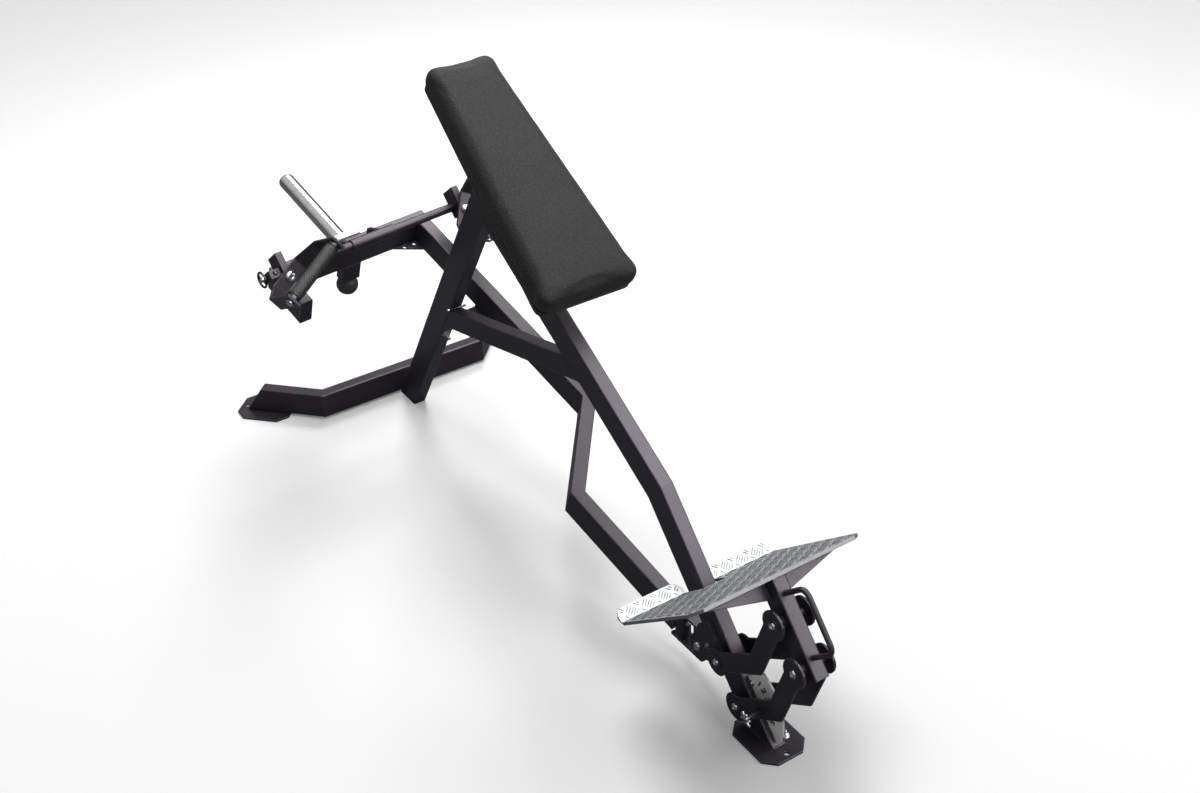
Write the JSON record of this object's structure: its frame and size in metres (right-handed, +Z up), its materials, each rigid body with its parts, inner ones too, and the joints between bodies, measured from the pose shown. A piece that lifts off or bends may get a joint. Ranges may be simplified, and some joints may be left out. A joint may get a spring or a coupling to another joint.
{
  "type": "t-bar row machine",
  "caption": "Plate-loaded chest-supported row machine: angled frame, tapered chest pad, pivoting loading lever with swivel grips, and a height-set treadplate foot platform.",
  "frame": {"origin": "on the floor under the rear foot of the main beam, in the beam's mid-plane", "axes": "+X from the chest pad towards the foot platform, +Y to the far side of the picture, +Z up"},
  "size_m": [2.3096, 1.0295, 1.2891],
  "materials": {
    "powder": "semi-gloss black powder coat",
    "vinyl": "pebbled dark grey vinyl",
    "board": "matt black board",
    "chrome": "polished plating",
    "zinc": "bright zinc",
    "tread": "bright treadplate",
    "rubber": "matt black rubber",
    "label": "white enamel"
  },
  "bodies": {
    "frame": {"foot_plate_rear": "powder", "foot_plate_near": "powder", "foot_plate_far": "powder", "front_base": "powder", "front_leg": "powder", "main_beam": "powder", "brace": "powder", "chest_pad": "vinyl", "pad_board": "board", "leg_top_plate": "powder", "pad_standoff": "powder", "lift_bolt": "chrome", "beam_bolt_upper": "chrome", "beam_bolt_lower": "chrome", "index_sector": "label", "rest_pad": "rubber", "rest_shelf": "powder"},
    "yoke": {"swivel_yoke": "powder", "swivel_pin": "zinc"},
    "lever": {"lever_arm": "powder", "head_crossbar": "powder", "left_arm": "powder", "head_gusset": "powder", "peg_plate": "powder", "weight_peg": "chrome", "bumper_stub": "powder", "bumper_ball": "rubber", "handle_sleeve": "powder"},
    "carriage": {"handle_rod": "powder", "hanger_left": "powder", "hanger_right": "powder", "clamp_left": "powder", "clamp_right": "powder", "band_bolt_left": "chrome", "band_bolt_right": "chrome"},
    "grip_left": {"handle_band_left": "powder", "grip_rod_left": "chrome", "grip_rubber_left": "rubber", "grip_collar_left_outer": "chrome", "grip_collar_left_inner": "chrome"},
    "grip_right": {"handle_band_right": "powder", "grip_rod_right": "chrome", "grip_rubber_right": "rubber", "grip_collar_right_outer": "chrome", "grip_collar_right_inner": "chrome"},
    "ring_left": {"ring_pin_left": "zinc"},
    "ring_right": {"ring_pin_right": "zinc"},
    "links_upper": {"link_upper_near": "powder", "link_upper_far": "powder"},
    "links_lower": {"link_lower_near": "powder", "link_lower_far": "powder", "plunger_barrel": "powder"},
    "plunger": {"plunger_pin": "chrome"},
    "foot_carrier": {"foot_post": "powder", "foot_platform": "tread", "post_handle": "powder", "post_bolt_upper": "chrome", "post_bolt_lower": "chrome"}
  },
  "joints": [
    {"name": "lever_lift", "type": "hinge", "parent": "frame", "child": "yoke", "pos_m": [-0.29, 0, 0.12], "axis": [0, 1, 0], "range_deg": [0, 14]},
    {"name": "lever_swing", "type": "hinge", "parent": "yoke", "child": "lever", "pos_m": [-0.385, 0, 0.1175], "axis": [0, 0, 1], "range_deg": [-6, 0]},
    {"name": "handle_tilt", "type": "hinge", "parent": "lever", "child": "carriage", "pos_m": [-1.70861, -0.15571, 0.67375], "axis": [-0.1169, 0.9931, 0], "range_deg": [-10, 10]},
    {"name": "grip_swivel_left", "type": "hinge", "parent": "carriage", "child": "grip_left", "pos_m": [-1.62093, -0.43437, 0.68573], "axis": [0.8794, 0.1034, 0.4647], "range_deg": [-35, 60]},
    {"name": "grip_swivel_right", "type": "hinge", "parent": "carriage", "child": "grip_right", "pos_m": [-1.69056, 0.15755, 0.68573], "axis": [0.8794, 0.1034, 0.4647], "range_deg": [-35, 60]},
    {"name": "ring_pull_left", "type": "slide", "parent": "carriage", "child": "ring_left", "axis": [0.1169, -0.9931, 0], "range_m": [0, 0.01], "stiffness_N_per_m": 300},
    {"name": "ring_pull_right", "type": "slide", "parent": "carriage", "child": "ring_right", "axis": [-0.1169, 0.9931, 0], "range_m": [0, 0.01], "stiffness_N_per_m": 300},
    {"name": "platform_swing", "type": "hinge", "parent": "frame", "child": "links_upper", "pos_m": [-0.19075, 0, 0.1544], "axis": [0, 1, 0], "range_deg": [-8, 16]},
    {"name": "lower_link_turn", "type": "hinge", "parent": "frame", "child": "links_lower", "pos_m": [-0.11197, 0, 0.06993], "axis": [0, 1, 0], "range_deg": [-9, 17]},
    {"name": "platform_level", "type": "hinge", "parent": "links_upper", "child": "foot_carrier", "pos_m": [0.0046, 0, 0.4175], "axis": [0, 1, 0], "range_deg": [-17, 9]},
    {"name": "plunger_press", "type": "slide", "parent": "links_lower", "child": "plunger", "axis": [0, 1, 0], "range_m": [0, 0.007]}
  ],
  "couplings": [
    {"joint": "lower_link_turn", "follows": "platform_swing", "ratio": 1},
    {"joint": "platform_level", "follows": "platform_swing", "ratio": -1}
  ]
}
